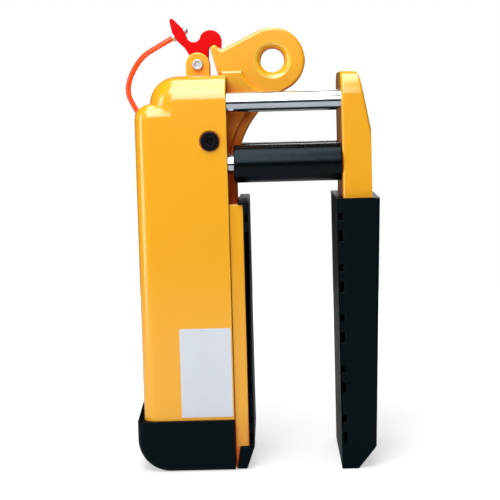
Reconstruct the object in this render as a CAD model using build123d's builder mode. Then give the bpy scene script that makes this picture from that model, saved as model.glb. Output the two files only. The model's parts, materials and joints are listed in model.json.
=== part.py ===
from build123d import *
import math
import os

# Slab lifting clamp, in mm. X runs from the housing to the outer jaw, Y is the width, Z is up.
# The origin is under the middle of the clamp, on the surface that it stands on.

# Fits and gaps
seat_fit = 0.02
pin_fit = 0.05
roller_gap = 0.3
side_gap = 0.5
running_gap = 1.0

# Travel of the moving jaw and rise of the lifting arm
jaw_travel = 60.0
arm_rise = 78.0
jaw_opening = 87.5

# Rollers and axles that run in the slot plates
roller_radius = 8.0
axle_radius = 6.0
slot_end_wall = 4.0
ring_radius = 11.0
ring_thickness = 2.0

# Housing
shell_front = -26.0
shell_wall = 4.0
shell_half_width = 60.0
shell_top = 397.0
hump_drop = 27.0
hump_length = 15.0
hump_radius = 16.0
dome_radius = 28.0
shell_low_radius = 27.0
shell_edge_radius = 14.0
crown_edge_radius = 25.0
plate_front_gap = 2.0
plate_back_gap = 2.0

# Base bumper
bumper_floor = 8.0
bumper_back_wall = 6.0
bumper_side_wall = 4.0
bumper_rim = 52.0
bumper_edge_radius = 8.0
bumper_lip_rise = 16.0
bumper_lip_edge = 1.0

# Slot plates
plate_thickness = 6.0
plate_edge = 8.0
boss_radius = 7.0
boss_height = 6.0

# Tie rods, sleeves and anchor blocks
rod_radius = 10.0
rod_edge_margin = 16.0
upper_rod_drop = 27.5
lower_rod_drop = 89.0
sleeve_radius = 19.0
sleeve_start_gap = 6.0
anchor_length = 40.0
anchor_setback = 2.0
anchor_wall = 3.0
anchor_margin = 6.0

# Screws
screw_radius = 6.0
anchor_screw_head_radius = 9.3
anchor_screw_head_height = 4.5
anchor_screw_drop = 65.0
anchor_screw_setback = 17.0
anchor_screw_length = 26.0
head_recess = 1.5
socket_radius = 4.6
socket_depth = 3.0
end_screw_depth = 25.0
end_screw_flats = 19.0
end_screw_head = 7.5
washer_radius = 11.5
washer_thickness = 2.5

# Outer jaw
outer_plate_thickness = 6.0
outer_flange_thickness = 4.0
outer_depth = 29.0
outer_half_width = 56.0
outer_top_rise = 2.0
outer_top_depth = 18.0
outer_shoulder_drop = 57.0
outer_foot = 20.0
outer_foot_depth = 21.0
outer_edge_radius = 3.0
outer_corner_radius = 25.0
boot_front_wall = 7.0
boot_side_wall = 8.0
boot_back_wall = 7.0
boot_foot_height = 22.5
boot_foot_depth = 16.4
boot_top_rise = 4.0

# Moving jaw
jaw_pad_thickness = 5.5
jaw_plate_thickness = 5.0
jaw_flange_depth = 13.5
jaw_flange_thickness = 5.0
jaw_half_width = 56.0
jaw_strip_depth = 4.5
jaw_strip_toe = 1.0
jaw_foot_gap = 1.0
jaw_foot_height = 22.5
jaw_head_gap = 21.0
jaw_web_thickness = 6.0
jaw_web_margin = 5.0
pad_half_width = 59.0
pad_toe = 8.0
pad_cap = 3.0
axle_head_margin = 12.0
axle_pair_step = 33.0
lower_axle_height = 56.0

# Cross cells inside both rubber faces
cell_pitch = 50.8
cell_skin = 1.6
small_cell = 7.0
small_cell_drop = 14.0
large_cell = 10.5
large_cell_drop = 33.0

# Lifting arm
eye_radius = 33.0
eye_bore_radius = 12.0
eye_rim = 5.0
eye_reach = 47.3
eye_rise = 14.6
eye_half_width = 15.0
arm_half_width = 20.0
arm_ledge_rise = 4.5
panel_margin = 0.2
panel_edge_radius = 2.5
arm_gap = 1.0
arm_edge_radius = 3.0
hub_radius = 11.0
hub_side_gap = 2.0
hub_front_reach = 8.0
hub_front_drop = 7.0
hub_back_reach = 9.0
hub_back_rise = 6.0
eye_root_angle = -64.0
throat_rim = 9.0
arm_front_rise = 58.0
arm_back_setback = 42.0
arm_back_drop = 97.0
arm_hip_setback = 19.0
arm_hip_drop = 30.0
nub_foot_setback = 8.6
nub_foot_rise = 1.0
nub_root_drop = 6.0
nub_heel_setback = 15.9
nub_heel_rise = 27.2
nub_tip_setback = 12.3
nub_tip_rise = 31.3
nub_brow_setback = 8.5
nub_brow_rise = 29.4
valley_setback = 3.9
valley_rise = 26.6
fork_gap = 1.0

# Latch
latch_pivot_setback = 29.2
latch_pivot_rise = 12.0
latch_half_width = 5.0
latch_hub_radius = 11.0
latch_edge_radius = 1.0
hook_reach = 25.0
hook_brow_rise = 22.0
hook_tip_rise = 15.7
hook_tip_inset = 0.6
hook_tip_width = 2.9
saddle_back_across = -10.5
saddle_back_rise = 28.0
saddle_across = -3.8
saddle_rise = 23.1
saddle_front_across = 3.4
saddle_front_rise = 29.6
crown_across = 14.3
crown_rise = 35.0
recess_across = 16.5
recess_rise = 19.5
recess_foot_across = 11.6
recess_foot_rise = 14.0
neck_low_across = -8.0
neck_low_rise = 9.0
neck_high_across = -13.0
neck_high_rise = 17.3
ear_half_length = 12.25
ear_thickness = 5.0
latch_bolt_radius = 3.0
latch_bolt_head_radius = 5.4
latch_bolt_flats = 10.0
latch_bolt_head = 3.5

# Release cable and its ends
cable_radius = 2.75
tail_angle = 119.0
tail_width = 11.0
tail_across = -18.3
tail_rise = 32.0
tail_tip_reach = 17.3
tail_tip_width = 3.5
ferrule_flats = 8.6
ferrule_length = 3.0
stud_radius = 1.5
dome_nut_radius = 3.6
dome_nut_height = 4.0
dome_nut_round = 2.5
latch_lead = 16.0
gland_lead = 9.0
bend_share = 0.45

# Trip slider under the gland, along the gland's line
gland_angle = -60.5
gland_rise = 7.5
gland_stand_off = 0.6
gland_length = 24.0
gland_radius = 4.2
cable_in_gland = 2.5
trip_rod_radius = 2.6
trip_rod_top = 3.0
trip_piston_start = 34.0
trip_piston_length = 10.0
trip_piston_radius = 5.5
trip_tube_wall = 3.0
trip_tube_lead = 3.0
trip_spring_length = 24.0
spring_wire_radius = 0.6
spring_turns = 6
trip_web_half_width = 3.0

# Places that follow from the sizes above
plate_front = shell_front - plate_front_gap
axle_end_x = plate_front - slot_end_wall - roller_radius
axle_x = axle_end_x - jaw_travel
plate_back = axle_x - roller_radius - slot_end_wall
shell_back = plate_back - plate_back_gap - shell_wall
dome_back = shell_back + hump_length
hump_top = shell_top - hump_drop
cheek_inner = shell_half_width - shell_wall
plate_outer = cheek_inner - boss_height
plate_inner = plate_outer - plate_thickness

upper_rod_z = shell_top - upper_rod_drop
lower_rod_z = shell_top - lower_rod_drop
jaw_top = lower_rod_z - sleeve_radius - jaw_head_gap
axle_end_z = jaw_top - axle_head_margin
axle_z = axle_end_z - arm_rise
upper_axle_z = axle_z - axle_pair_step
lower_axle_z = lower_axle_height

jaw_back = shell_front + side_gap
jaw_front = jaw_back + jaw_flange_depth
jaw_plate_back = jaw_front - jaw_plate_thickness
jaw_step = jaw_foot_gap + jaw_foot_height
cell_rows = 1 + int((jaw_top - large_cell_drop - large_cell / 2 - jaw_step) / cell_pitch)
strip_front = jaw_back + jaw_strip_depth
strip_toe = jaw_back + jaw_strip_toe
pad_face = jaw_front + jaw_pad_thickness
web_outer = plate_inner - 2 * running_gap
web_inner = web_outer - jaw_web_thickness
web_back = axle_x - axle_radius - jaw_web_margin

boot_face = pad_face + jaw_opening
outer_face = boot_face + boot_front_wall
outer_back = outer_face + outer_depth
outer_top = shell_top + outer_top_rise
outer_shoulder = shell_top - outer_shoulder_drop
boot_top = jaw_top + boot_top_rise

rod_half_spacing = min(cheek_inner, outer_half_width) - rod_edge_margin
anchor_inner = rod_half_spacing - rod_radius - anchor_wall
anchor_top = upper_rod_z + rod_radius + anchor_margin
anchor_chamfer = max(anchor_top - shell_top + crown_edge_radius, 0.0) + running_gap
anchor_front = shell_front - anchor_setback
anchor_back = anchor_front - anchor_length
anchor_screw_x = shell_front - anchor_screw_setback
anchor_screw_z = shell_top - anchor_screw_drop

eye_x = shell_front + eye_reach
eye_z = shell_top + eye_rise
arm_front = jaw_plate_back - arm_gap
root_turn = math.cos(math.radians(eye_root_angle))
throat_radius = (eye_x + eye_radius * root_turn - arm_front) / (1 - root_turn)
hub_half_width = web_inner - hub_side_gap
axle_half_length = plate_outer + ring_thickness + 2 * running_gap

pivot_x = shell_front - latch_pivot_setback
pivot_z = shell_top + latch_pivot_rise
ear_inner = latch_half_width + side_gap
ear_outer = ear_inner + ear_thickness

tail_centre = (pivot_x + tail_across, pivot_z + tail_rise)
stud_angle = tail_angle - 90.0
gland_mouth = (shell_back - gland_stand_off, hump_top - hump_radius + gland_rise)
spring_start = trip_piston_start + trip_piston_length
spring_end = spring_start + trip_spring_length
SIDES = (("left", -1), ("right", 1))


def polar(origin, angle, distance):
    """The point at an angle and a distance from another, in the XZ plane."""
    turn = math.radians(angle)
    return (origin[0] + distance * math.cos(turn), origin[1] + distance * math.sin(turn))


def at_y(y):
    """The XZ plane at one place across the width, facing -Y."""
    return Plane.XZ.offset(-y)


def along(origin, angle):
    """A plane square to a line in XZ that starts at a point and runs at an angle."""
    turn = math.radians(angle)
    return Plane(origin=(origin[0], 0, origin[1]), x_dir=(0, 1, 0), z_dir=(math.cos(turn), 0, math.sin(turn)))


def save(builder, label):
    """Name a finished piece and write it."""
    builder.part.label = label
    export_step(builder.part, f"parts/{label}.step")


def tub(front, back, bottom, top, half_width, low_radius, high_radius, edge_radius):
    """A block with rounded rear corners and rounded side edges, square at its front."""
    with BuildPart() as block:
        with BuildSketch(Plane.XZ) as outline:
            with BuildLine():
                Polyline((front, bottom), (back, bottom), (back, top), (front, top), close=True)
            make_face()
            rear = outline.vertices().group_by(Axis.X)[0].sort_by(Axis.Y)
            fillet(rear[0], low_radius)
            fillet(outline.vertices().group_by(Axis.Y)[-1].sort_by(Axis.X)[0], high_radius)
        extrude(amount=half_width, both=True)
        sides = block.faces().filter_by(Axis.Y)
        rounded = [edge for edge in sides.edges() if edge.center().X < front - side_gap]
        fillet(rounded, edge_radius)
    return block


def housing_solid(inset, front):
    """The outside of the housing, or its hollow when set in by the wall."""
    base_edge = min(shell_edge_radius, 0.9 * hump_radius) - inset
    crown_edge = min(crown_edge_radius, 0.9 * dome_radius) - inset
    half_width = shell_half_width - inset
    base = tub(front, shell_back + inset, bumper_floor + inset, hump_top - inset, half_width,
               shell_low_radius - inset, hump_radius - inset, base_edge)
    crown = tub(front, dome_back + inset, hump_top - 3 * dome_radius, shell_top - inset, half_width,
                dome_radius - inset, dome_radius - inset, crown_edge)
    with BuildPart() as solid:
        add(base.part)
        add(crown.part)
    return solid


def shell():
    """The yellow housing, open at its front, with holes for the screws, gland and arm."""
    outside = housing_solid(0.0, shell_front)
    hollow = housing_solid(shell_wall, shell_front + shell_wall)
    notch_back = arm_points()["nub_foot"][0] - running_gap
    with BuildPart() as body:
        add(outside.part)
        add(hollow.part, mode=Mode.SUBTRACT)
        with BuildSketch(Plane.XY.offset(shell_top - 2 * shell_wall)):
            with Locations(((notch_back + shell_front) / 2, 0)):
                Rectangle(shell_front - notch_back + 2 * side_gap, 2 * (arm_half_width + running_gap))
        extrude(amount=3 * shell_wall, mode=Mode.SUBTRACT)
        with BuildSketch(Plane.XZ):
            with Locations((anchor_screw_x, anchor_screw_z)):
                Circle(screw_radius + pin_fit)
        extrude(amount=shell_half_width, both=True, mode=Mode.SUBTRACT)
        for _, side in SIDES:
            with BuildSketch(at_y(side * shell_half_width)):
                with Locations((anchor_screw_x, anchor_screw_z)):
                    Circle(anchor_screw_head_radius + running_gap)
            extrude(amount=side * head_recess, mode=Mode.SUBTRACT)
        with BuildSketch(along(gland_mouth, gland_angle)):
            Circle(gland_radius + seat_fit)
        extrude(amount=gland_length, mode=Mode.SUBTRACT)
    return body


def base_bumper():
    """The rubber shoe round the foot of the housing, with a lip that rises up its back."""
    back = shell_back - bumper_back_wall
    lip_top = bumper_rim + bumper_lip_rise
    block = tub(shell_front, back, 0, 2 * lip_top, shell_half_width + bumper_side_wall,
                shell_low_radius + bumper_back_wall, hump_radius, bumper_edge_radius)
    filling = housing_solid(0.0, shell_front)
    with BuildPart() as body:
        add(block.part)
        with BuildSketch(Plane.XY.offset(bumper_rim)):
            with Locations(((back + shell_front) / 2, 0)):
                Rectangle(2 * (shell_front - back), 4 * shell_half_width)
        extrude(amount=2 * lip_top, mode=Mode.SUBTRACT)
        with BuildSketch(Plane.XZ):
            with BuildLine():
                Polyline((back, bumper_rim), (shell_back, bumper_rim), (shell_back, lip_top),
                         (shell_back - bumper_lip_edge, lip_top), close=True)
            make_face()
        extrude(amount=shell_half_width - shell_edge_radius, both=True)
        add(filling.part, mode=Mode.SUBTRACT)
    return body


def slot_plate(side):
    """One plate with the sloping slot of the arm and the level slots of the jaw."""
    middle_x = (axle_x + axle_end_x) / 2
    slot_width = 2 * (roller_radius + roller_gap)
    slope = math.degrees(math.atan2(arm_rise, jaw_travel))
    plate_bottom = lower_axle_z - roller_radius - plate_edge
    plate_top = axle_end_z + roller_radius + plate_edge
    boss_low = (upper_axle_z + lower_axle_z) / 2
    boss_back = shell_back + shell_wall + shell_edge_radius + boss_radius
    boss_front = plate_front - boss_radius - slot_end_wall
    bosses = ((boss_back, boss_low), (boss_front, boss_low), (boss_back, axle_end_z), (boss_front, axle_z))
    with BuildPart() as plate:
        with BuildSketch(at_y(side * plate_inner)):
            with Locations((middle_x, (plate_bottom + plate_top) / 2)):
                Rectangle(plate_front - plate_back, plate_top - plate_bottom)
            for height in (lower_axle_z, upper_axle_z):
                with Locations((middle_x, height)):
                    SlotCenterToCenter(jaw_travel, slot_width, mode=Mode.SUBTRACT)
            with Locations((middle_x, (axle_z + axle_end_z) / 2)):
                SlotCenterToCenter(math.hypot(jaw_travel, arm_rise), slot_width, slope, mode=Mode.SUBTRACT)
        extrude(amount=-side * plate_thickness)
        with BuildSketch(at_y(side * plate_outer)):
            with Locations(*bosses):
                Circle(boss_radius)
        extrude(amount=-side * boss_height)
    return plate


def rod_anchor(side):
    """The block inside one cheek that holds the ends of two tie rods."""
    middle_x = (anchor_front + anchor_back) / 2
    bottom = lower_rod_z - rod_radius - anchor_margin
    with BuildPart() as block:
        with BuildSketch(at_y(side * anchor_inner)):
            with Locations((middle_x, (bottom + anchor_top) / 2)):
                Rectangle(anchor_length, anchor_top - bottom)
        extrude(amount=-side * (cheek_inner - anchor_inner))
        top_edges = block.faces().sort_by(Axis.Z)[-1].edges().filter_by(Axis.X)
        chamfer(top_edges.sort_by(lambda e: side * e.center().Y)[-1], anchor_chamfer)
        with BuildSketch(Plane.YZ.offset(anchor_back)):
            with Locations((side * rod_half_spacing, upper_rod_z), (side * rod_half_spacing, lower_rod_z)):
                Circle(rod_radius + seat_fit)
        extrude(amount=anchor_length, mode=Mode.SUBTRACT)
        with BuildSketch(at_y(side * cheek_inner)):
            with Locations((anchor_screw_x, anchor_screw_z)):
                Circle(screw_radius + seat_fit)
        extrude(amount=side * anchor_screw_length, mode=Mode.SUBTRACT)
    return block


def anchor_screws():
    """The black socket screws that hold the anchor blocks to the cheeks."""
    seat = shell_half_width - head_recess
    with BuildPart() as screws:
        for _, side in SIDES:
            with BuildSketch(at_y(side * seat)):
                with Locations((anchor_screw_x, anchor_screw_z)):
                    Circle(screw_radius)
            extrude(amount=side * anchor_screw_length)
            with BuildSketch(at_y(side * seat)):
                with Locations((anchor_screw_x, anchor_screw_z)):
                    Circle(anchor_screw_head_radius)
            extrude(amount=-side * anchor_screw_head_height)
            with BuildSketch(at_y(side * (seat + anchor_screw_head_height))):
                with Locations((anchor_screw_x, anchor_screw_z)):
                    RegularPolygon(socket_radius, 6)
            extrude(amount=side * socket_depth, mode=Mode.SUBTRACT)
    return screws


def tie_rod(side, height):
    """One chromed rod, tapped at the outer jaw for its end screw."""
    place = (side * rod_half_spacing, height)
    with BuildPart() as rod:
        with BuildSketch(Plane.YZ.offset(anchor_back)):
            with Locations(place):
                Circle(rod_radius)
        extrude(amount=outer_face - anchor_back)
        with BuildSketch(Plane.YZ.offset(outer_face)):
            with Locations(place):
                Circle(screw_radius + seat_fit)
        extrude(amount=-(end_screw_depth + running_gap), mode=Mode.SUBTRACT)
    return rod


def rod_sleeve(side):
    """The rubber sleeve over one lower rod."""
    start = shell_front + sleeve_start_gap
    with BuildPart() as sleeve:
        with BuildSketch(Plane.YZ.offset(start)):
            with Locations((side * rod_half_spacing, lower_rod_z)):
                Circle(sleeve_radius)
                Circle(rod_radius + pin_fit, mode=Mode.SUBTRACT)
        extrude(amount=outer_face - start)
    return sleeve


def rod_places():
    """Where the four rods meet the outer jaw, as (y, z)."""
    return [(side * rod_half_spacing, height) for _, side in SIDES for height in (lower_rod_z, upper_rod_z)]


def outer_block():
    """The outside of the outer jaw's channel, without its hollow."""
    with BuildPart() as block:
        with BuildSketch(Plane.XZ):
            with BuildLine():
                Polyline((outer_face, outer_foot), (outer_face + outer_foot_depth, outer_foot),
                         (outer_back, boot_top), (outer_back, outer_shoulder),
                         (outer_face + outer_top_depth, outer_top), (outer_face, outer_top), close=True)
            make_face()
        extrude(amount=outer_half_width, both=True)
        with BuildSketch(Plane.YZ.offset(outer_face)) as front_view:
            with Locations((0, outer_foot)):
                Rectangle(2 * outer_half_width, outer_top - outer_foot, align=(Align.CENTER, Align.MIN))
            fillet(front_view.vertices().group_by(Axis.Y)[-1], outer_corner_radius)
        extrude(amount=outer_depth, mode=Mode.INTERSECT)
        top_edges = block.faces().sort_by(Axis.Z)[-1].edges().filter_by(Axis.Y)
        fillet(top_edges, outer_edge_radius)
    return block


def fixed_jaw_plate():
    """The yellow channel that carries the outer pad, open at its back."""
    block = outer_block()
    hollow_front = outer_face + outer_plate_thickness
    with BuildPart() as body:
        add(block.part)
        with BuildSketch(Plane.YZ.offset(hollow_front)) as hollow:
            height = outer_top - outer_foot - outer_plate_thickness
            with Locations((0, outer_foot + height / 2)):
                Rectangle(2 * (outer_half_width - outer_flange_thickness), height)
            fillet(hollow.vertices().group_by(Axis.Y)[-1], outer_corner_radius - outer_plate_thickness)
        extrude(amount=outer_depth, mode=Mode.SUBTRACT)
        with BuildSketch(Plane.YZ.offset(outer_face)):
            with Locations(*rod_places()):
                Circle(screw_radius + pin_fit)
        extrude(amount=outer_plate_thickness, mode=Mode.SUBTRACT)
    return body


def cross_cells(front, back):
    """The cells that run across a rubber layer between two depths, as solids to cut away."""
    with BuildPart() as cells:
        for row in range(cell_rows):
            for drop, height in ((small_cell_drop, small_cell), (large_cell_drop, large_cell)):
                with BuildSketch(Plane.XZ):
                    with Locations(((front + back) / 2, jaw_top - drop - row * cell_pitch)):
                        Rectangle(abs(front - back) - 2 * cell_skin, height)
                extrude(amount=2 * shell_half_width, both=True)
    return cells


def fixed_jaw_boot():
    """The rubber boot over the outer jaw, with its gripping face."""
    block = outer_block()
    cells = cross_cells(boot_face, outer_face)
    half_width = outer_half_width + boot_side_wall
    with BuildPart() as body:
        with BuildSketch(Plane.XZ):
            with BuildLine():
                foot_back = outer_face + outer_foot_depth + boot_back_wall
                Polyline((boot_face, 0), (boot_face + boot_foot_depth, 0), (foot_back, boot_foot_height),
                         (outer_back + boot_back_wall, boot_top), (boot_face, boot_top), close=True)
            make_face()
        extrude(amount=half_width, both=True)
        uprights = body.edges().filter_by(lambda e: abs(e.center().Y) > outer_half_width).sort_by(Axis.X)[-2:]
        fillet(uprights, outer_edge_radius)
        add(block.part, mode=Mode.SUBTRACT)
        add(cells.part, mode=Mode.SUBTRACT)
    return body


def rod_end_washers():
    """The washers under the rod end screws."""
    start = outer_face + outer_plate_thickness
    with BuildPart() as washers:
        with BuildSketch(Plane.YZ.offset(start)):
            with Locations(*rod_places()):
                Circle(washer_radius)
                Circle(screw_radius + pin_fit, mode=Mode.SUBTRACT)
        extrude(amount=washer_thickness)
    return washers


def rod_end_screws():
    """The hexagon screws that pull the rods against the outer jaw."""
    seat = outer_face + outer_plate_thickness + washer_thickness
    with BuildPart() as screws:
        with BuildSketch(Plane.YZ.offset(outer_face - end_screw_depth)):
            with Locations(*rod_places()):
                Circle(screw_radius)
        extrude(amount=seat - outer_face + end_screw_depth)
        with BuildSketch(Plane.YZ.offset(seat)):
            with Locations(*rod_places()):
                RegularPolygon(end_screw_flats / 2, 6, major_radius=False)
        extrude(amount=end_screw_head)
    return screws


def jaw_channel():
    """The yellow moving jaw: a front channel with two webs that reach into the housing."""
    flange_inner = jaw_half_width - jaw_flange_thickness
    web_bottom = lower_axle_z - roller_radius - plate_edge
    with BuildPart() as body:
        with BuildSketch(Plane.XZ):
            with BuildLine():
                Polyline((jaw_plate_back, jaw_step), (jaw_front, jaw_step), (jaw_front, jaw_top),
                         (jaw_plate_back, jaw_top), close=True)
            make_face()
        extrude(amount=jaw_half_width, both=True)
        for _, side in SIDES:
            with BuildSketch(at_y(side * flange_inner)):
                with BuildLine():
                    Polyline((jaw_back, jaw_foot_gap), (strip_toe, jaw_foot_gap), (strip_front, jaw_step),
                             (jaw_front, jaw_step), (jaw_front, jaw_top), (jaw_back, jaw_top), close=True)
                make_face()
            extrude(amount=-side * jaw_flange_thickness)
            with BuildSketch(at_y(side * web_inner)):
                with BuildLine():
                    Polyline((web_back, web_bottom), (jaw_front, web_bottom), (jaw_front, jaw_top),
                             (web_back, jaw_top), close=True)
                make_face()
            extrude(amount=-side * jaw_web_thickness)
        with BuildSketch(Plane.XZ):
            with Locations((axle_x, (axle_z + axle_end_z) / 2)):
                SlotCenterToCenter(arm_rise, 2 * (axle_radius + roller_gap), 90)
            with Locations((axle_x, upper_axle_z), (axle_x, lower_axle_z)):
                Circle(axle_radius + seat_fit)
        extrude(amount=shell_half_width, both=True, mode=Mode.SUBTRACT)
    return body


def jaw_pad():
    """The rubber pad on the moving jaw, with its foot block and a cap over the jaw's top edge."""
    cells = cross_cells(pad_face, jaw_front)
    cap_top = jaw_top + pad_cap
    with BuildPart() as body:
        with BuildSketch(Plane.XZ):
            with BuildLine():
                Polyline((jaw_front, jaw_step), (jaw_front, jaw_top), (jaw_plate_back, jaw_top),
                         (jaw_plate_back, cap_top), (pad_face, cap_top),
                         (pad_face, jaw_step), (pad_face - pad_toe, jaw_foot_gap),
                         (strip_toe, jaw_foot_gap), (strip_front, jaw_step), close=True)
            make_face()
        extrude(amount=pad_half_width, both=True)
        add(cells.part, mode=Mode.SUBTRACT)
    return body


def axle(height):
    """One cross axle, in the housing's rest position."""
    with BuildPart() as pin:
        with BuildSketch(Plane.XZ):
            with Locations((axle_x, height)):
                Circle(axle_radius)
        extrude(amount=axle_half_length, both=True)
    return pin


def axle_set(heights, inner, thickness, radius, bore):
    """Matching round pieces on both ends of the axles at these heights."""
    with BuildPart() as pieces:
        for _, side in SIDES:
            with BuildSketch(at_y(side * inner)):
                with Locations(*[(axle_x, height) for height in heights]):
                    Circle(radius)
                    Circle(bore, mode=Mode.SUBTRACT)
            extrude(amount=-side * thickness)
    return pieces


def rollers(*heights):
    """The rollers that run in the slots."""
    return axle_set(heights, plate_inner, plate_thickness, roller_radius, axle_radius + pin_fit)


def axle_rings(*heights):
    """The rings that keep the rollers on their axles."""
    return axle_set(heights, plate_outer + roller_gap, ring_thickness, ring_radius, axle_radius + seat_fit)


def tangent_point(point, centre, radius):
    """Where a line from a point touches a circle, on the circle's upper side."""
    across = point[0] - centre[0]
    up = point[1] - centre[1]
    angle = math.degrees(math.atan2(up, across) - math.acos(radius / math.hypot(across, up)))
    return polar(centre, angle, radius)


def arm_points():
    """The arm's corners, measured from the housing's top front corner and the axle."""
    def corner(setback, rise):
        return (shell_front - setback, shell_top + rise)

    eye = (eye_x, eye_z)
    valley = corner(valley_setback, valley_rise)
    throat = polar(eye, eye_root_angle, eye_radius + throat_radius)
    return {
        "nub_foot": corner(nub_foot_setback, nub_foot_rise),
        "nub_heel": corner(nub_heel_setback, nub_heel_rise),
        "nub_tip": corner(nub_tip_setback, nub_tip_rise),
        "nub_brow": corner(nub_brow_setback, nub_brow_rise),
        "valley": valley,
        "shoulder": tangent_point(valley, eye, eye_radius),
        "eye": eye,
        "root": polar(eye, eye_root_angle, eye_radius),
        "throat": throat,
        "throat_middle": polar(throat, 180 + eye_root_angle / 2, throat_radius),
        "front_high": (arm_front, throat[1]),
        "front_low": (arm_front, axle_z + arm_front_rise),
        "hub_front": (axle_x + hub_front_reach, axle_z - hub_front_drop),
        "hub_back": (axle_x - hub_back_reach, axle_z + hub_back_rise),
        "back_low": corner(arm_back_setback, -arm_back_drop),
        "back_high": corner(arm_hip_setback, -arm_hip_drop),
        "nub_root": corner(nub_foot_setback, -nub_root_drop),
    }


def arm_outline():
    """The arm's side view, filled."""
    p = arm_points()
    with BuildSketch() as outline:
        with BuildLine():
            Polyline(p["nub_brow"], p["valley"], p["shoulder"], p["eye"], p["root"])
            ThreePointArc(p["root"], p["throat_middle"], p["front_high"])
            Polyline(p["front_high"], p["front_low"], p["hub_front"], p["hub_back"], p["back_low"],
                     p["back_high"], p["nub_root"], p["nub_foot"], p["nub_heel"])
            ThreePointArc(p["nub_heel"], p["nub_tip"], p["nub_brow"])
        make_face()
        with Locations(p["eye"]):
            Circle(eye_radius)
        with Locations((axle_x, axle_z)):
            Circle(hub_radius)
    return outline.sketch


def arm_plate(outline):
    """The whole outline as a plate of the eye's thickness, with rounded rims."""
    with BuildPart() as plate:
        with BuildSketch(Plane.XZ):
            add(outline)
        extrude(amount=eye_half_width, both=True)
        fillet(plate.faces().filter_by(Axis.Y).edges(), arm_edge_radius)
    return plate


def arm_panel(outline):
    """The raised panel below the ledge, set in from the rim and cut clear of the eye and the throat."""
    p = arm_points()
    with BuildPart() as panel:
        with BuildSketch(Plane.XZ):
            add(outline)
            offset(amount=-(arm_edge_radius + panel_margin), mode=Mode.REPLACE)
            with Locations(p["eye"]):
                Circle(eye_radius, mode=Mode.SUBTRACT)
            with Locations(p["throat"]):
                Circle(throat_radius + throat_rim, mode=Mode.SUBTRACT)
            with Locations((eye_x, shell_top + arm_ledge_rise)):
                Rectangle(6 * eye_radius, 3 * eye_radius, align=(Align.CENTER, Align.MIN), mode=Mode.SUBTRACT)
        extrude(amount=arm_half_width, both=True)
        fillet(panel.faces().filter_by(Axis.Y).edges(), panel_edge_radius)
    return panel


def lifting_arm():
    """The cast arm: crane eye, forked latch nub and the leg that carries the cross axle."""
    p = arm_points()
    outline = arm_outline()
    plate = arm_plate(outline)
    panel = arm_panel(outline)
    fork_right = pivot_x + hook_reach + fork_gap
    fork_floor = pivot_z + hook_tip_rise / 2
    with BuildPart() as body:
        add(plate.part)
        add(panel.part)
        with BuildSketch(Plane.XZ):
            with Locations((axle_x, axle_z)):
                Circle(hub_radius)
        extrude(amount=hub_half_width, both=True)
        with BuildSketch(Plane.XZ):
            with Locations(p["eye"]):
                Circle(eye_bore_radius)
        extrude(amount=2 * eye_half_width, both=True, mode=Mode.SUBTRACT)
        bore_edges = body.edges().filter_by(GeomType.CIRCLE).filter_by(
            lambda e: abs(e.radius - eye_bore_radius) < seat_fit)
        chamfer(bore_edges, eye_rim)
        with BuildSketch(Plane.XZ):
            with Locations((axle_x, axle_z)):
                Circle(axle_radius + seat_fit)
        extrude(amount=2 * hub_half_width, both=True, mode=Mode.SUBTRACT)
        with BuildSketch(Plane.XZ):
            with Locations((fork_right, fork_floor)):
                Rectangle(eye_radius, eye_radius, align=(Align.MAX, Align.MIN))
        extrude(amount=latch_half_width + fork_gap, both=True, mode=Mode.SUBTRACT)
    return body


def latch_ears():
    """The two yellow ears on top of the housing that carry the latch."""
    with BuildPart() as ears:
        for _, side in SIDES:
            with BuildSketch(at_y(side * ear_inner)):
                with Locations((pivot_x, pivot_z)):
                    Circle(ear_half_length)
                with Locations((pivot_x, shell_top)):
                    Rectangle(2 * ear_half_length, latch_pivot_rise, align=(Align.CENTER, Align.MIN))
                with Locations((pivot_x, shell_top)):
                    Rectangle(4 * ear_half_length, ear_half_length, align=(Align.CENTER, Align.MAX),
                              mode=Mode.SUBTRACT)
                with Locations((pivot_x, pivot_z)):
                    Circle(latch_bolt_radius + seat_fit, mode=Mode.SUBTRACT)
            extrude(amount=-side * ear_thickness)
    return ears


def latch_bolt():
    """The bolt that the latch turns on, with its head towards -Y."""
    with BuildPart() as bolt:
        with BuildSketch(at_y(-ear_outer)):
            with Locations((pivot_x, pivot_z)):
                Circle(latch_bolt_radius)
        extrude(amount=-(2 * ear_outer + latch_bolt_head + running_gap))
        with BuildSketch(at_y(-ear_outer)):
            with Locations((pivot_x, pivot_z)):
                Circle(latch_bolt_head_radius)
        extrude(amount=latch_bolt_head)
        with BuildSketch(at_y(-ear_outer - latch_bolt_head)):
            with Locations((pivot_x, pivot_z)):
                RegularPolygon(latch_bolt_radius, 6)
        extrude(amount=-latch_bolt_head / 2, mode=Mode.SUBTRACT)
    return bolt


def latch_nut():
    """The nut on the far end of the latch bolt."""
    with BuildPart() as nut:
        with BuildSketch(at_y(ear_outer)):
            with Locations((pivot_x, pivot_z)):
                RegularPolygon(latch_bolt_flats / 2, 6, major_radius=False)
                Circle(latch_bolt_radius + seat_fit, mode=Mode.SUBTRACT)
        extrude(amount=-latch_bolt_head)
    return nut


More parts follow.
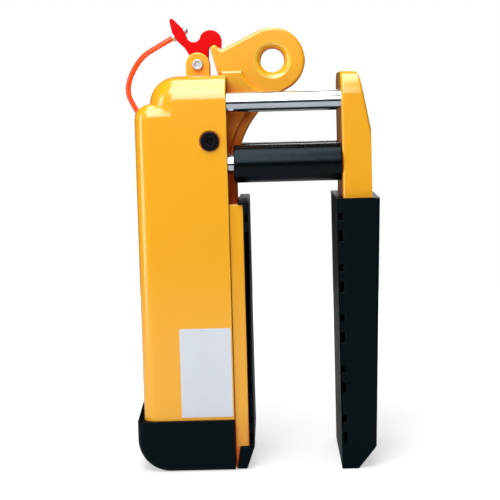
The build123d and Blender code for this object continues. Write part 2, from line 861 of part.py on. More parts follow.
def latch_lever():
    """The red latch: hub, hook over the nub and a straight tail for the cable."""
    def from_pivot(across, rise):
        return (pivot_x + across, pivot_z + rise)

    tail_tip = polar(tail_centre, tail_angle, tail_tip_reach)
    left_middle = polar(tail_centre, stud_angle, -tail_width / 2)
    right_middle = polar(tail_centre, stud_angle, tail_width / 2)
    left_high = polar(left_middle, tail_angle, tail_width / 2)
    left_low = polar(left_middle, tail_angle, -tail_width / 2)
    right_high = polar(right_middle, tail_angle, tail_width / 3)
    right_low = polar(right_middle, tail_angle, -tail_width / 3)
    saddle_back = from_pivot(saddle_back_across, saddle_back_rise)
    saddle_front = from_pivot(saddle_front_across, saddle_front_rise)
    hook_brow = from_pivot(hook_reach, hook_brow_rise)
    hook_tip = from_pivot(hook_reach - hook_tip_inset, hook_tip_rise)
    recess_front = from_pivot(hook_reach - hook_tip_inset - hook_tip_width, hook_tip_rise)
    recess_foot = from_pivot(recess_foot_across, recess_foot_rise)
    with BuildPart() as lever:
        with BuildSketch(Plane.XZ):
            with BuildLine():
                Polyline(left_high, polar(tail_tip, stud_angle, -tail_tip_width / 2),
                         polar(tail_tip, stud_angle, tail_tip_width / 2), right_high, right_low, saddle_back)
                ThreePointArc(saddle_back, from_pivot(saddle_across, saddle_rise), saddle_front)
                ThreePointArc(saddle_front, from_pivot(crown_across, crown_rise), hook_brow)
                Polyline(hook_brow, hook_tip, recess_front)
                ThreePointArc(recess_front, from_pivot(recess_across, recess_rise), recess_foot)
                Polyline(recess_foot, from_pivot(latch_hub_radius, 0.0),
                         from_pivot(neck_low_across, neck_low_rise),
                         from_pivot(neck_high_across, neck_high_rise), left_low, left_high)
            make_face()
            with Locations((pivot_x, pivot_z)):
                Circle(latch_hub_radius)
        extrude(amount=latch_half_width, both=True)
        fillet(lever.faces().filter_by(Axis.Y).edges(), latch_edge_radius)
        with BuildSketch(Plane.XZ):
            with Locations((pivot_x, pivot_z)):
                Circle(latch_bolt_radius + pin_fit)
        extrude(amount=2 * latch_half_width, both=True, mode=Mode.SUBTRACT)
        with BuildSketch(along(polar(tail_centre, stud_angle, -tail_width), stud_angle)):
            Circle(stud_radius + seat_fit)
        extrude(amount=2 * tail_width, mode=Mode.SUBTRACT)
    return lever


def cable_ferrule():
    """The zinc hexagon collar at the latch end of the cable."""
    with BuildPart() as ferrule:
        with BuildSketch(along(polar(tail_centre, stud_angle, -tail_width / 2), stud_angle)):
            RegularPolygon(ferrule_flats / 2, 6, major_radius=False)
            Circle(stud_radius + seat_fit, mode=Mode.SUBTRACT)
        extrude(amount=-ferrule_length)
    return ferrule


def cable_nut():
    """The cable's stud through the latch tail, with the dome nut on its end."""
    with BuildPart() as nut:
        with BuildSketch(along(polar(tail_centre, stud_angle, tail_width / 2), stud_angle)):
            Circle(dome_nut_radius)
        extrude(amount=dome_nut_height)
        far_face = nut.faces().sort_by(lambda f: f.center().X + f.center().Z)[-1]
        fillet(far_face.edges(), dome_nut_round)
        with BuildSketch(along(polar(tail_centre, stud_angle, tail_width / 2), stud_angle)):
            Circle(stud_radius)
        extrude(amount=-(tail_width + ferrule_length))
    return nut


def release_cable():
    """The orange cable from the latch tail, in a wide bow, down into the gland."""
    start = polar(tail_centre, stud_angle, -tail_width / 2 - ferrule_length - seat_fit)
    end = polar(gland_mouth, gland_angle, cable_in_gland)
    route = [start, polar(start, stud_angle, -latch_lead), (-110.5, 420.5), (-120.5, 408.0),
             (-127.0, 394.5), (-128.6, 381.5), polar(gland_mouth, gland_angle, -gland_lead), end]
    points = [Vector(x, 0, z) for x, z in route]
    radii = []
    for before, here, after in zip(points, points[1:], points[2:]):
        turn = math.radians((here - before).get_angle(after - here))
        shorter = min((here - before).length, (after - here).length)
        radii.append(bend_share * shorter / math.tan(turn / 2))
    with BuildPart() as cable:
        with BuildLine() as line:
            FilletPolyline(*points, radius=radii)
        with BuildSketch(Plane(origin=line.line @ 0, z_dir=line.line % 0)):
            Circle(cable_radius)
        sweep(path=line.line)
    length = sum(edge.length for edge in line.edges())
    section = math.pi * cable_radius ** 2
    print("cable radii", [round(radius, 1) for radius in radii])
    print("cable length", round(length, 1), "volume ratio", round(cable.part.volume / (section * length), 4))
    return cable


def cable_gland():
    """The bush that guides the cable through the housing's back."""
    with BuildPart() as gland:
        with BuildSketch(along(gland_mouth, gland_angle)):
            Circle(gland_radius)
            Circle(cable_radius + pin_fit, mode=Mode.SUBTRACT)
        extrude(amount=gland_length)
    return gland


def trip_slider():
    """The sliding piston that pulls the cable, with its rod in the gland."""
    with BuildPart() as slider:
        with BuildSketch(along(polar(gland_mouth, gland_angle, trip_rod_top), gland_angle)):
            Circle(trip_rod_radius)
        extrude(amount=trip_piston_start - trip_rod_top)
        with BuildSketch(along(polar(gland_mouth, gland_angle, trip_piston_start), gland_angle)):
            Circle(trip_piston_radius)
        extrude(amount=trip_piston_length)
    return slider


def trip_guide():
    """The tube that the piston slides in, on a web from the housing's back wall."""
    bore = trip_piston_radius + pin_fit
    top = trip_piston_start - trip_tube_lead
    web_high = polar(gland_mouth, gland_angle, spring_start)
    web_low = polar(gland_mouth, gland_angle, spring_end)
    wall = shell_back + shell_wall
    with BuildPart() as guide:
        with BuildSketch(along(polar(gland_mouth, gland_angle, top), gland_angle)):
            Circle(bore + trip_tube_wall)
        extrude(amount=spring_end + trip_tube_wall - top)
        with BuildSketch(Plane.XZ):
            with BuildLine():
                Polyline((wall, web_high[1]), (wall, web_low[1]), web_low, web_high, close=True)
            make_face()
        extrude(amount=trip_web_half_width, both=True)
        with BuildSketch(along(polar(gland_mouth, gland_angle, top), gland_angle)):
            Circle(bore)
        extrude(amount=spring_end - top, mode=Mode.SUBTRACT)
    return guide


def trip_spring():
    """The coil spring that pushes the piston back up."""
    coil_radius = trip_piston_radius - spring_wire_radius - roller_gap
    height = trip_spring_length - 2 * spring_wire_radius - 2 * seat_fit
    base = polar(gland_mouth, gland_angle, spring_start + spring_wire_radius + seat_fit)
    axis = along(base, gland_angle).z_dir
    with BuildPart() as spring:
        with BuildLine() as coil:
            Helix(height / spring_turns, height, coil_radius, center=(base[0], 0, base[1]), direction=axis)
        with BuildSketch(Plane(origin=coil.line @ 0, z_dir=coil.line % 0)):
            Circle(spring_wire_radius)
        sweep(path=coil.line, is_frenet=True)
    print("spring gap", round(height / spring_turns - 2 * spring_wire_radius, 2))
    return spring


os.makedirs("parts", exist_ok=True)
save(shell(), "shell")
save(base_bumper(), "base_bumper")
for label, side in SIDES:
    save(slot_plate(side), f"{label}_slot_plate")
    save(rod_anchor(side), f"{label}_rod_anchor")
    save(tie_rod(side, upper_rod_z), f"{label}_upper_rod")
    save(tie_rod(side, lower_rod_z), f"{label}_lower_rod")
    save(rod_sleeve(side), f"{label}_rod_sleeve")
save(anchor_screws(), "anchor_screws")
save(fixed_jaw_plate(), "fixed_jaw_plate")
save(fixed_jaw_boot(), "fixed_jaw_boot")
save(rod_end_washers(), "rod_end_washers")
save(rod_end_screws(), "rod_end_screws")
save(jaw_channel(), "jaw_channel")
save(jaw_pad(), "jaw_pad")
save(axle(upper_axle_z), "upper_jaw_axle")
save(axle(lower_axle_z), "lower_jaw_axle")
save(rollers(upper_axle_z, lower_axle_z), "jaw_rollers")
save(axle_rings(upper_axle_z, lower_axle_z), "jaw_axle_rings")
save(lifting_arm(), "lifting_arm")
save(axle(axle_z), "arm_axle")
save(rollers(axle_z), "arm_rollers")
save(axle_rings(axle_z), "arm_axle_rings")
save(latch_ears(), "latch_ears")
save(latch_bolt(), "latch_bolt")
save(latch_nut(), "latch_nut")
save(latch_lever(), "latch_lever")
save(cable_ferrule(), "cable_ferrule")
save(cable_nut(), "cable_nut")
save(release_cable(), "release_cable")
save(cable_gland(), "cable_gland")
save(trip_slider(), "trip_slider")
save(trip_guide(), "trip_guide")
save(trip_spring(), "trip_spring")
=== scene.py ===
import json
import math

import bmesh
import bpy
from mathutils import Matrix, Vector

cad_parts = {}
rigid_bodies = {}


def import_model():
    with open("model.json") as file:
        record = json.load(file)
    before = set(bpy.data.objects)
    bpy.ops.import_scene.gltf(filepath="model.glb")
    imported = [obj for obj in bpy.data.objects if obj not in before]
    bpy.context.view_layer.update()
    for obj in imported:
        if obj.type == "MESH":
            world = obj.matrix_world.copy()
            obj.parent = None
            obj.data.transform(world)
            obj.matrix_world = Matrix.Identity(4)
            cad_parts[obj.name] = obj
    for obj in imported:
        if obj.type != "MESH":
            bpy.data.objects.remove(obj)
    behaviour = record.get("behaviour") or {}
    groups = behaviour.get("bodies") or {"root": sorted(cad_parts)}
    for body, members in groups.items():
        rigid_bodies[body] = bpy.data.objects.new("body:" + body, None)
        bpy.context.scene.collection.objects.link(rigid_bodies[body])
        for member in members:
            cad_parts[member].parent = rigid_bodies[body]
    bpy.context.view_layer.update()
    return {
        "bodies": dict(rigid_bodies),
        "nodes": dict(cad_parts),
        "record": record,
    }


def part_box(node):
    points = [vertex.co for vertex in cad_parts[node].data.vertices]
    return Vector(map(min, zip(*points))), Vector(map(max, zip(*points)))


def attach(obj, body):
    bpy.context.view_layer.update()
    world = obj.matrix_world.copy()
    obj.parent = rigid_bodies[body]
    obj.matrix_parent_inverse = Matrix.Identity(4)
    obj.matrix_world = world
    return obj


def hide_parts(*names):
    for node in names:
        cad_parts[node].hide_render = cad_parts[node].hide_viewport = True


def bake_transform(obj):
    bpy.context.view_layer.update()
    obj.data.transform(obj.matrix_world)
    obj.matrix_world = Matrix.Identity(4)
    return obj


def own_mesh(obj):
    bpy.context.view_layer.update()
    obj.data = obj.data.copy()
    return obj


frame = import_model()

# The slab lifting clamp in metres: X from the housing to the outer jaw, Y across, Z up.
NODES = frame["nodes"]
MM = 0.001


# Node materials

# Painted shade in gaps, by ambient occlusion: its reach in metres, and the occlusion where the shade is full
# and where it ends.
PAINTED_SHADE_REACH = 0.12
SHADE_FULL_AT, SHADE_NONE_AT = 0.28, 0.5
COAT_ROUGHNESS = 0.2
COAT_IOR = 1.7
RUBBER_SHINE = 0.13
RUBBER_TINT = (0.62, 0.85, 1.0, 1.0)


def new_material(name):
    """A material with its node tree and Principled shader."""
    material = bpy.data.materials.new(name)
    material.use_nodes = True
    tree = material.node_tree
    return material, tree, tree.nodes["Principled BSDF"]


def noise(tree, scale, detail=3.0, roughness=0.55, stretch=(1.0, 1.0, 1.0)):
    """Noise in the object's own coordinates, with its scale in cells per metre."""
    place = tree.nodes.new("ShaderNodeTexCoord")
    mapping = tree.nodes.new("ShaderNodeMapping")
    mapping.inputs["Scale"].default_value = stretch
    made = tree.nodes.new("ShaderNodeTexNoise")
    made.inputs["Scale"].default_value = scale
    made.inputs["Detail"].default_value = detail
    made.inputs["Roughness"].default_value = roughness
    tree.links.new(place.outputs["Object"], mapping.inputs["Vector"])
    tree.links.new(mapping.outputs["Vector"], made.inputs["Vector"])
    return made.outputs["Fac"]


def ramp(tree, source, low, high, low_value, high_value):
    """A value that runs between two limits of another."""
    made = tree.nodes.new("ShaderNodeMapRange")
    made.inputs["From Min"].default_value = low
    made.inputs["From Max"].default_value = high
    made.inputs["To Min"].default_value = low_value
    made.inputs["To Max"].default_value = high_value
    tree.links.new(source, made.inputs["Value"])
    return made.outputs["Result"]


def times(tree, first, second):
    """The product of two values."""
    made = tree.nodes.new("ShaderNodeMath")
    made.operation = "MULTIPLY"
    tree.links.new(first, made.inputs[0])
    tree.links.new(second, made.inputs[1])
    return made.outputs["Value"]


def mix_colour(tree, share, first, second):
    """A colour between two, by a share from 0 to 1. The first may be a socket."""
    made = tree.nodes.new("ShaderNodeMix")
    made.data_type = "RGBA"
    tree.links.new(share, made.inputs["Factor"])
    if isinstance(first, bpy.types.NodeSocket):
        tree.links.new(first, made.inputs[6])
    else:
        made.inputs[6].default_value = (*first, 1.0)
    made.inputs[7].default_value = (*second, 1.0)
    return made.outputs[2]


def edge_wear_and_highlight(tree, most):
    """A painted highlight, partly wear: from 0 on flats to a patchy share on rounded edges, which carry the
    edge attribute.
    """
    edge = tree.nodes.new("ShaderNodeAttribute")
    edge.attribute_name = "edge"
    patches = ramp(tree, noise(tree, 45.0, 5.0, 0.65), 0.35, 0.65, 0.25 * most, most)
    return times(tree, edge.outputs["Fac"], patches)


def bump(tree, shader, height, strength, distance):
    """Relief from a height value, with its depth in metres."""
    made = tree.nodes.new("ShaderNodeBump")
    made.inputs["Strength"].default_value = strength
    made.inputs["Distance"].default_value = distance
    tree.links.new(height, made.inputs["Height"])
    tree.links.new(made.outputs["Normal"], shader.inputs["Normal"])


def painted_gap_shade(tree):
    """Painted shade: from 0 in the open to 1 in gaps that other surfaces shut in, by ambient occlusion."""
    shelter = tree.nodes.new("ShaderNodeAmbientOcclusion")
    shelter.samples = 8
    shelter.inputs["Distance"].default_value = PAINTED_SHADE_REACH
    return ramp(tree, shelter.outputs["AO"], SHADE_FULL_AT, SHADE_NONE_AT, 1.0, 0.0)


def powder_coat(name, colour, lightened, dark, shade_colour, shine):
    """Gloss powder coat: fine orange peel, soft colour drift, lighter edges that are painted highlight and
    partly wear, and painted shade with a thinner coat in gaps.
    """
    material, tree, shader = new_material(name)
    drift = ramp(tree, noise(tree, 9.0, 4.0), 0.3, 0.7, 0.0, 0.4)
    coat = mix_colour(tree, drift, colour, dark)
    specks = ramp(tree, noise(tree, 420.0, 2.0), 0.74, 0.80, 0.0, 0.35)
    speckled = mix_colour(tree, specks, coat, dark)
    # Painted highlight, partly wear: rounded edges are mixed in patches towards the lighter colour.
    lit_edges = mix_colour(tree, edge_wear_and_highlight(tree, 0.8), speckled, lightened)
    # Painted shade: gaps that other surfaces shut in are mixed towards a dark red-orange.
    depth = painted_gap_shade(tree)
    paint = mix_colour(tree, depth, lit_edges, shade_colour)
    tree.links.new(paint, shader.inputs["Base Color"])
    gloss = ramp(tree, noise(tree, 60.0, 5.0), 0.3, 0.75, 0.34, 0.46)
    tree.links.new(gloss, shader.inputs["Roughness"])
    shader.inputs["Specular IOR Level"].default_value = 0.15 * shine
    # Painted shade: a thinner coat in gaps, so they mirror less.
    tree.links.new(ramp(tree, depth, 0.0, 1.0, shine, 0.2 * shine), shader.inputs["Coat Weight"])
    shader.inputs["Coat Roughness"].default_value = COAT_ROUGHNESS
    shader.inputs["Coat IOR"].default_value = COAT_IOR
    bump(tree, shader, noise(tree, 900.0, 2.0), 0.1, 0.0002)
    return material


def moulded_black(name, colour, dust_and_sheen, low_rough, high_rough, shine=RUBBER_SHINE):
    """Black rubber, plastic or oxide with a fine skin and scuffs, and lighter edges that are painted highlight
    and partly dusty.
    """
    material, tree, shader = new_material(name)
    scuff = ramp(tree, noise(tree, 42.0, 8.0, 0.7), 0.52, 0.8, 0.0, 0.4)
    lightened = mix_colour(tree, scuff, colour, dust_and_sheen)
    # Painted highlight, partly dusty: rounded edges are mixed towards the lighter colour.
    edged = mix_colour(tree, edge_wear_and_highlight(tree, 0.9), lightened, dust_and_sheen)
    tree.links.new(edged, shader.inputs["Base Color"])
    skin = ramp(tree, noise(tree, 140.0, 5.0), 0.3, 0.7, low_rough, high_rough)
    tree.links.new(skin, shader.inputs["Roughness"])
    shader.inputs["Specular IOR Level"].default_value = shine
    shader.inputs["Specular Tint"].default_value = RUBBER_TINT
    bump(tree, shader, noise(tree, 1600.0, 3.0), 0.2, 0.0002)
    return material


def bright_metal(name, colour, low_rough, high_rough, grain, strength, stretch=(1.0, 1.0, 1.0)):
    """Plated or polished metal with faint grain, duller in patches."""
    material, tree, shader = new_material(name)
    shader.inputs["Metallic"].default_value = 1.0
    tone = ramp(tree, noise(tree, 35.0, 5.0), 0.3, 0.7, 0.0, 0.5)
    dull = tuple(0.75 * part for part in colour)
    tree.links.new(mix_colour(tree, tone, colour, dull), shader.inputs["Base Color"])
    gloss = ramp(tree, noise(tree, grain, 6.0, 0.55, stretch), 0.25, 0.75, low_rough, high_rough)
    tree.links.new(gloss, shader.inputs["Roughness"])
    bump(tree, shader, noise(tree, grain * 4, 2.0, 0.55, stretch), strength, 0.0001)
    return material


def gloss_plastic(name, colour, dark):
    """The smooth sheath of the cable."""
    material, tree, shader = new_material(name)
    drift = ramp(tree, noise(tree, 120.0, 4.0), 0.35, 0.7, 0.0, 0.4)
    tree.links.new(mix_colour(tree, drift, colour, dark), shader.inputs["Base Color"])
    gloss = ramp(tree, noise(tree, 300.0, 4.0), 0.3, 0.7, 0.16, 0.28)
    tree.links.new(gloss, shader.inputs["Roughness"])
    shader.inputs["Coat Weight"].default_value = 0.5
    bump(tree, shader, noise(tree, 2500.0, 2.0), 0.08, 0.0001)
    return material


def blank_vinyl(name, colour, dark):
    """A plain white vinyl sticker with no print."""
    material, tree, shader = new_material(name)
    drift = ramp(tree, noise(tree, 25.0, 5.0), 0.35, 0.7, 0.0, 0.6)
    tree.links.new(mix_colour(tree, drift, colour, dark), shader.inputs["Base Color"])
    gloss = ramp(tree, noise(tree, 90.0, 4.0), 0.3, 0.7, 0.3, 0.42)
    tree.links.new(gloss, shader.inputs["Roughness"])
    bump(tree, shader, noise(tree, 500.0, 2.0), 0.05, 0.0002)
    return material


MATERIALS = {
    # Coat colours: own colour, lighter edge colour for the painted highlight, darker drift colour, then the
    # dark red-orange of the painted shade in gaps.
    "yellow_paint": powder_coat("yellow_paint", (0.89, 0.41, 0.005), (0.98, 0.62, 0.06), (0.86, 0.37, 0.003),
                                (0.72, 0.075, 0.0008), 1.0),
    "red_paint": powder_coat("red_paint", (0.70, 0.0, 0.001), (0.78, 0.02, 0.02), (0.58, 0.0, 0.001),
                             (0.35, 0.0, 0.001), 0.15),
    # Black finishes: own colour, then a lighter colour for scuffs and for the painted highlight on edges.
    "black_rubber": moulded_black("black_rubber", (0.0005, 0.0022, 0.003), (0.003, 0.006, 0.008),
                                  0.44, 0.58, 0.10),
    "smooth_rubber": moulded_black("smooth_rubber", (0.0003, 0.0008, 0.0014), (0.003, 0.006, 0.008),
                                   0.22, 0.30, 0.18),
    "chromed_rod": bright_metal("chromed_rod", (0.56, 0.60, 0.66), 0.06, 0.14, 60.0, 0.02, (0.05, 1.0, 1.0)),
    "zinc_plated_steel": bright_metal("zinc_plated_steel", (0.62, 0.66, 0.70), 0.34, 0.48, 260.0, 0.12),
    "inner_steel": bright_metal("inner_steel", (0.42, 0.43, 0.44), 0.35, 0.55, 200.0, 0.15),
    "black_screw": moulded_black("black_screw", (0.003, 0.003, 0.004), (0.020, 0.020, 0.024), 0.25, 0.38),
    "orange_cable": gloss_plastic("orange_cable", (1.0, 0.075, 0.006), (0.86, 0.05, 0.003)),
    "black_plastic": moulded_black("black_plastic", (0.010, 0.010, 0.011), (0.04, 0.04, 0.04), 0.35, 0.5),
    "blank_vinyl": blank_vinyl("blank_vinyl", (0.66, 0.70, 0.76), (0.61, 0.65, 0.71)),
}
SLOTS = {entry["node"]: entry["material_slot"] for entry in frame["record"]["subparts"]}
FINISHES = {**SLOTS, "left_rod_sleeve": "smooth_rubber", "right_rod_sleeve": "smooth_rubber"}


def paint_cad_nodes():
    """Give every CAD node its finish."""
    for name, finish in FINISHES.items():
        NODES[name].data.materials.clear()
        NODES[name].data.materials.append(MATERIALS[finish])


# Pieces with rounded edges, which take the place of CAD nodes

WELD_DISTANCE = 0.002 * MM
FLAT_ANGLE = math.radians(0.4)
SHARP_ANGLE = math.radians(38.0)
SMOOTH_ANGLE = math.radians(30.0)
BEVEL_STEPS = 3
EDGE_RADII = {
    "shell": 1.2, "fixed_jaw_plate": 1.2, "jaw_channel": 1.0, "lifting_arm": 3.0, "latch_ears": 1.0,
    "latch_lever": 0.4, "latch_bolt": 0.8, "latch_nut": 0.5, "anchor_screws": 0.7, "cable_ferrule": 0.4,
    "rod_end_screws": 0.7, "rod_end_washers": 0.4, "base_bumper": 1.2, "fixed_jaw_boot": 1.2, "jaw_pad": 0.8,
    "left_rod_sleeve": 1.5, "right_rod_sleeve": 1.5,
}


def body_of(name):
    """The body that a CAD node rides on."""
    return next(body for body, empty in frame["bodies"].items() if NODES[name].parent == empty)


def show_shape(name, shape):
    """A linked object from a bmesh, smooth between edges of small angle."""
    mesh = bpy.data.meshes.new(name)
    shape.to_mesh(mesh)
    shape.free()
    mesh.polygons.foreach_set("use_smooth", [True] * len(mesh.polygons))
    mesh.set_sharp_from_angle(angle=SMOOTH_ANGLE)
    made = bpy.data.objects.new(name, mesh)
    bpy.context.scene.collection.objects.link(made)
    normals = made.modifiers.new("normals", "WEIGHTED_NORMAL")
    normals.keep_sharp = True
    return made


def edge_chains(edges):
    """The edges in groups that meet end to end."""
    left = dict.fromkeys(edges)
    while left:
        chain = [left.popitem()[0]]
        for edge in chain:
            near = [other for vertex in edge.verts for other in vertex.link_edges if other in left]
            for other in dict.fromkeys(near):
                del left[other]
                chain.append(other)
        yield chain


def round_edges(shape, radius):
    """Round the sharp outer edges, each chain as far as it has room, and mark the new faces."""
    layer = shape.faces.layers.float.new("edge")
    sharp = [edge for edge in shape.edges if len(edge.link_faces) == 2 and edge.is_convex
             and edge.calc_face_angle() > SHARP_ANGLE]
    for chain in list(edge_chains(sharp)):
        rounded = bmesh.ops.bevel(shape, geom=chain, offset=radius, offset_type="OFFSET", segments=BEVEL_STEPS,
                                  profile=0.5, affect="EDGES", clamp_overlap=True)
        for face in rounded["faces"]:
            face[layer] = 1.0


def take_place(piece, name):
    """Show a piece in a CAD node's place, with its finish and on its body."""
    piece.data.materials.clear()
    piece.data.materials.append(MATERIALS[FINISHES[name]])
    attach(piece, body_of(name))
    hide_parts(name)


def dress_node(name, radius):
    """A copy of a CAD node with rounded edges, shown in its place."""
    shape = bmesh.new()
    shape.from_mesh(NODES[name].data)
    bmesh.ops.remove_doubles(shape, verts=shape.verts, dist=WELD_DISTANCE)
    bmesh.ops.dissolve_limit(shape, angle_limit=FLAT_ANGLE, verts=shape.verts, edges=shape.edges)
    round_edges(shape, radius * MM)
    take_place(show_shape(f"{name}_dressed", shape), name)


def dress_spring():
    """The trip spring, which the slider presses together as it comes down: a copy in its place with a mesh of
    its own, not pressed here.
    """
    shape = bmesh.new()
    shape.from_mesh(NODES["trip_spring"].data)
    bmesh.ops.remove_doubles(shape, verts=shape.verts, dist=WELD_DISTANCE)
    spring = show_shape("trip_spring_dressed", shape)
    take_place(spring, "trip_spring")
    slide = next(joint for joint in frame["record"]["behaviour"]["joints"] if joint["name"] == "trip_slide")
    axis = Vector(slide["axis"])
    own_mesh(spring)


# Blank sticker on the near cheek

LABEL_LEFT, LABEL_RIGHT = -79.0 * MM, -27.5 * MM
LABEL_LOW, LABEL_HIGH = 55.0 * MM, 145.0 * MM
LABEL_THICKNESS = 0.25 * MM
LABEL_CORNER = 1.5 * MM
LABEL_CORNER_STEPS = 5


def make_label():
    """A thin white sticker with rounded corners and nothing printed on it."""
    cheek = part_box("shell")[0][1]
    shape = bmesh.new()
    outline = [shape.verts.new((x, cheek - LABEL_THICKNESS, z)) for x, z in (
        (LABEL_LEFT, LABEL_LOW), (LABEL_RIGHT, LABEL_LOW), (LABEL_RIGHT, LABEL_HIGH), (LABEL_LEFT, LABEL_HIGH))]
    shape.faces.new(outline)
    bmesh.ops.bevel(shape, geom=outline, offset=LABEL_CORNER, segments=LABEL_CORNER_STEPS, profile=0.5,
                    affect="VERTICES")
    back = bmesh.ops.extrude_face_region(shape, geom=list(shape.faces))
    moved = [part for part in back["geom"] if isinstance(part, bmesh.types.BMVert)]
    bmesh.ops.translate(shape, verts=moved, vec=(0.0, LABEL_THICKNESS, 0.0))
    bmesh.ops.recalc_face_normals(shape, faces=shape.faces)
    label = show_shape("blank_label", shape)
    label.data.materials.append(MATERIALS["blank_vinyl"])
    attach(label, "housing")


# Cable

CABLE_RADIUS = 2.75 * MM
CABLE_ROUTE = [(-80.95, 436.87), (-94.95, 429.11), (-110.5, 420.5), (-120.5, 408.0), (-127.0, 394.5),
               (-128.6, 381.5), (-123.03, 369.33), (-117.37, 359.32)]
LINE_ORDER = 3
LINE_STEPS = 12
TUBE_SIDES = 20


def spline_points(route):
    """Points along a smooth NURBS line that has the route's points as its control points."""
    data = bpy.data.curves.new("cable_line", "CURVE")
    data.dimensions = "3D"
    data.resolution_u = LINE_STEPS
    spline = data.splines.new("NURBS")
    spline.points.add(len(route) - 1)
    for point, (x, z) in zip(spline.points, route):
        point.co = (x * MM, 0.0, z * MM, 1.0)
    spline.order_u = LINE_ORDER
    spline.use_endpoint_u = True
    line = bpy.data.objects.new("cable_line", data)
    bpy.context.scene.collection.objects.link(line)
    bpy.context.view_layer.update()
    sampled = bpy.data.meshes.new_from_object(line)
    points = [vertex.co.copy() for vertex in sampled.vertices]
    bpy.data.objects.remove(line)
    return points


def tube(name, points, radius):
    """A round tube of quads along points in the XZ plane, with closed ends."""
    shape = bmesh.new()
    width = Vector((0.0, 1.0, 0.0))
    rings = []
    for index, point in enumerate(points):
        before = points[max(index - 1, 0)]
        after = points[min(index + 1, len(points) - 1)]
        across = (after - before).normalized().cross(width)
        turns = [2 * math.pi * step / TUBE_SIDES for step in range(TUBE_SIDES)]
        rings.append([shape.verts.new(point + radius * (across * math.cos(turn) + width * math.sin(turn)))
                      for turn in turns])
    for first, second in zip(rings, rings[1:]):
        for step in range(TUBE_SIDES):
            after = (step + 1) % TUBE_SIDES
            shape.faces.new((first[step], first[after], second[after], second[step]))
    shape.faces.new(list(reversed(rings[0])))
    shape.faces.new(rings[-1])
    bmesh.ops.recalc_face_normals(shape, faces=shape.faces)
    return show_shape(name, shape)


def make_cable():
    """The orange cable, held by the latch's tail and the gland."""
    points = spline_points(CABLE_ROUTE)
    cable = tube("cable_sheath", points, CABLE_RADIUS)
    cable.data.materials.append(MATERIALS["orange_cable"])
    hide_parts("release_cable")
    length = sum((b - a).length for a, b in zip(points, points[1:]))
    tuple(points[-1])
    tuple(points[0])
    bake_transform(cable)
    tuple(points[0])


# Camera, light and floor

FOCAL_LENGTH = 97.2
SENSOR_WIDTH = 36.0
CAMERA_PLACE = Vector((0.018, -1.395, 0.370))
CAMERA_AIM = Vector((-0.005, -0.062, 0.258))
CAMERA_ROLL = math.radians(1.56)
CAMERA_SHIFT = -0.07
FLOOR_HALF_SIZE = 1.2
FLOOR_GREY = 0.58
FLOOR_NEAR, FLOOR_FAR = 0.25, 1.1
FLOOR_LIFT_NEAR, FLOOR_LIFT_FAR = 0.5, 1.0
LIGHT_AIM = (0.0, 0.0, 0.25)
WORLD_LIGHT = 0.06
MIRROR_SHARE = 0.06


def place_camera():
    """The photograph's view: square on to the side, a little from above."""
    camera = bpy.data.objects.new("camera", bpy.data.cameras.new("camera"))
    camera.data.lens = FOCAL_LENGTH
    camera.data.sensor_width = SENSOR_WIDTH
    camera.data.shift_y = CAMERA_SHIFT
    camera.data.clip_start = 0.01
    turn = (CAMERA_AIM - CAMERA_PLACE).to_track_quat("-Z", "Y").to_matrix()
    turn = turn @ Matrix.Rotation(-CAMERA_ROLL, 3, "Z")
    camera.matrix_world = Matrix.Translation(CAMERA_PLACE) @ turn.to_4x4()
    bpy.context.scene.collection.objects.link(camera)
    bpy.context.scene.camera = camera


def softbox(name, place, aim, size, power):
    """A large area light turned to a point."""
    data = bpy.data.lights.new(name, "AREA")
    data.shape = "RECTANGLE"
    data.size, data.size_y = size
    data.energy = power
    lamp = bpy.data.objects.new(name, data)
    turn = (Vector(aim) - Vector(place)).to_track_quat("-Z", "Y")
    lamp.matrix_world = Matrix.Translation(place) @ turn.to_matrix().to_4x4()
    bpy.context.scene.collection.objects.link(lamp)


def either(tree, first, second):
    """The larger of two values."""
    made = tree.nodes.new("ShaderNodeMath")
    made.operation = "MAXIMUM"
    tree.links.new(first, made.inputs[0])
    tree.links.new(second, made.inputs[1])
    return made.outputs["Value"]


def white_share(tree, path):
    """1 where the white surroundings are looked at, and less where they are mirrored."""
    seen = either(tree, path.outputs["Is Camera Ray"], path.outputs["Is Transmission Ray"])
    mirrored = ramp(tree, path.outputs["Is Glossy Ray"], 0.0, 1.0, 0.0, MIRROR_SHARE)
    return either(tree, seen, mirrored)


def light_world():
    """White where it is looked at, dim where it is mirrored, and faint as plain light."""
    world = bpy.data.worlds.new("studio")
    bpy.context.scene.world = world
    world.use_nodes = True
    tree = world.node_tree
    path = tree.nodes.new("ShaderNodeLightPath")
    plain = ramp(tree, path.outputs["Is Diffuse Ray"], 0.0, 1.0, 0.0, WORLD_LIGHT)
    background = tree.nodes["Background"]
    background.inputs["Color"].default_value = (1.0, 1.0, 1.0, 1.0)
    tree.links.new(either(tree, white_share(tree, path), plain), background.inputs["Strength"])


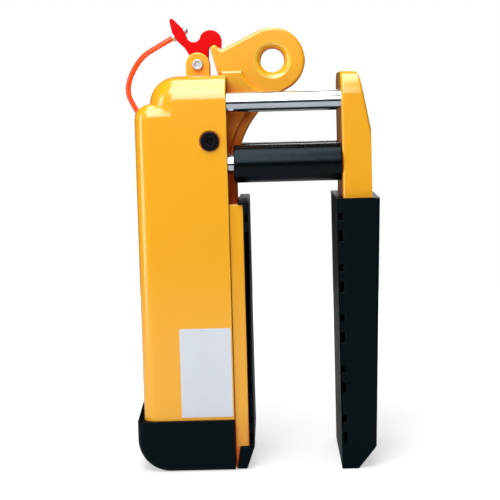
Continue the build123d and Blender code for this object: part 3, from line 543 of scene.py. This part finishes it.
def light_scene():
    """Soft studio light: wide panels in front, high up, above, on the left and behind."""
    softbox("front_light", (-0.2, -1.75, 1.15), (-0.2, 0.0, 0.5), (0.8, 0.95), 14.0)
    softbox("high_light", (-0.3, -0.9, 1.55), LIGHT_AIM, (0.85, 0.9), 15.5)
    softbox("top_light", (0.0, -0.01, 1.6), LIGHT_AIM, (0.8, 1.0), 12.0)
    softbox("left_light", (-1.3, -0.6, 0.45), LIGHT_AIM, (0.5, 1.2), 8.0)
    softbox("back_light", (0.6, 1.7, 1.0), LIGHT_AIM, (1.4, 1.0), 15.0)
    light_world()


def lay_floor():
    """A pale floor that looks white, and still takes the object's shadow."""
    shape = bmesh.new()
    bmesh.ops.create_grid(shape, x_segments=1, y_segments=1, size=FLOOR_HALF_SIZE)
    mesh = bpy.data.meshes.new("floor")
    shape.to_mesh(mesh)
    shape.free()
    floor = bpy.data.objects.new("floor", mesh)
    bpy.context.scene.collection.objects.link(floor)
    material, tree, shader = new_material("floor")
    shader.inputs["Base Color"].default_value = (FLOOR_GREY, FLOOR_GREY, FLOOR_GREY, 1.0)
    shader.inputs["Roughness"].default_value = 0.8
    shader.inputs["Specular IOR Level"].default_value = 0.0
    shader.inputs["Emission Color"].default_value = (1.0, 1.0, 1.0, 1.0)
    path = tree.nodes.new("ShaderNodeLightPath")
    place = tree.nodes.new("ShaderNodeTexCoord")
    reach = tree.nodes.new("ShaderNodeVectorMath")
    reach.operation = "LENGTH"
    tree.links.new(place.outputs["Object"], reach.inputs[0])
    lift = ramp(tree, reach.outputs["Value"], FLOOR_NEAR, FLOOR_FAR, FLOOR_LIFT_NEAR, FLOOR_LIFT_FAR)
    tree.links.new(times(tree, white_share(tree, path), lift), shader.inputs["Emission Strength"])
    mesh.materials.append(material)


paint_cad_nodes()
for node_name, edge_radius in EDGE_RADII.items():
    dress_node(node_name, edge_radius)
dress_spring()
make_label()
make_cable()
place_camera()
light_scene()
lay_floor()
bpy.context.scene.view_settings.view_transform = "Standard"
